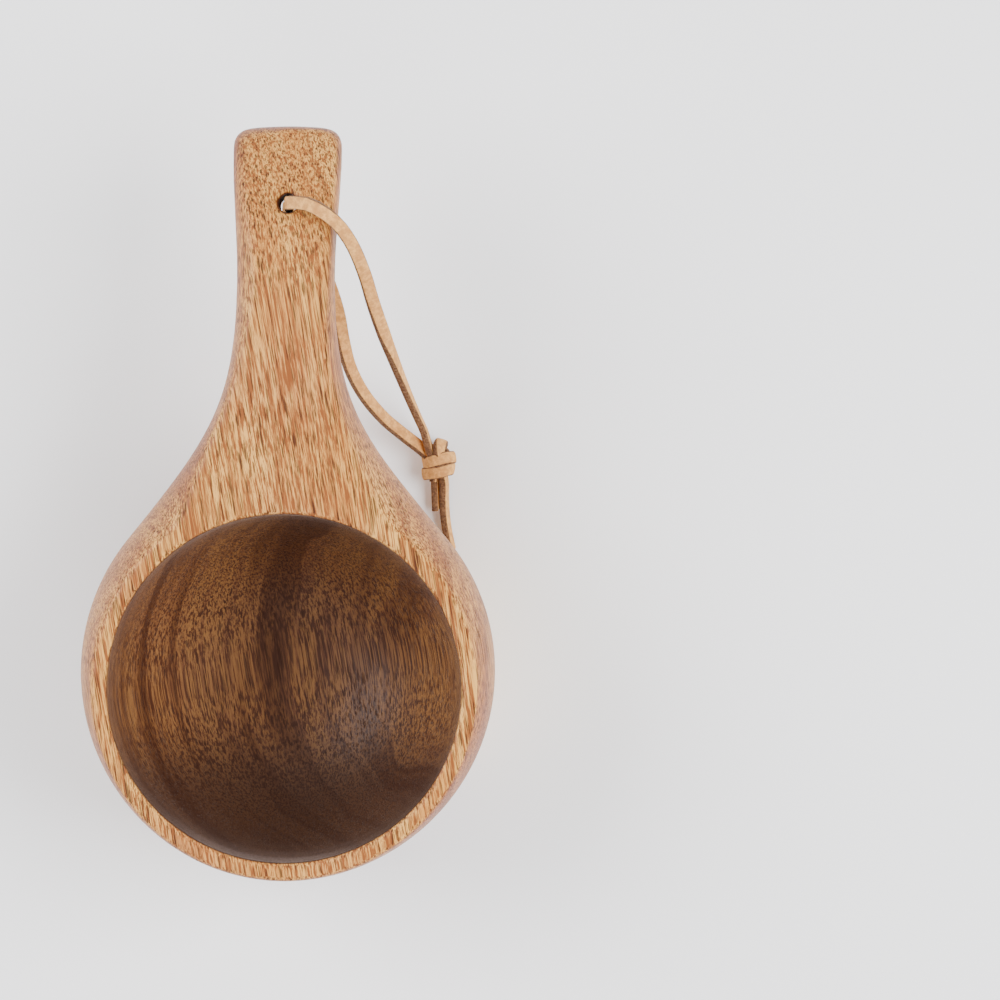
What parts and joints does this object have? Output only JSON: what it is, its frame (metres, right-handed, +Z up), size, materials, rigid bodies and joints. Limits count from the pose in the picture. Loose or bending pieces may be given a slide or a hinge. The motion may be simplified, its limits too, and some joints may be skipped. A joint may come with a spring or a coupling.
{
  "type": "kuksa wooden drinking cup",
  "caption": "Kuksa drinking cup carved from one block of streaked golden-brown wood, with a bowl, an arched handle growing from the rim and a knotted suede lace through the handle's end.",
  "frame": {"origin": "centre of the flat base the cup stands on", "axes": "+Z up out of the bowl; +Y along the handle, from the bowl to the handle's end; +X to the side the lace lies on"},
  "size_m": [0.0964, 0.1738, 0.0679],
  "materials": {
    "wood": "oiled, satin, streaked heartwood with open pores",
    "suede": "matt suede, tan faces and dark brown cut edges"
  },
  "bodies": {
    "cup": {"cup_body": "wood"},
    "lace": {"lace_upper_run": "suede", "lace_lower_run": "suede", "lace_knot": "suede", "lace_tail_outer": "suede", "lace_tail_inner": "suede"}
  },
  "joints": [
    {"name": "lace_swing", "type": "hinge", "parent": "cup", "child": "lace", "pos_m": [0.0012, 0.1104, 0], "axis": [0, 0, 1], "range_deg": [0, 235]}
  ]
}
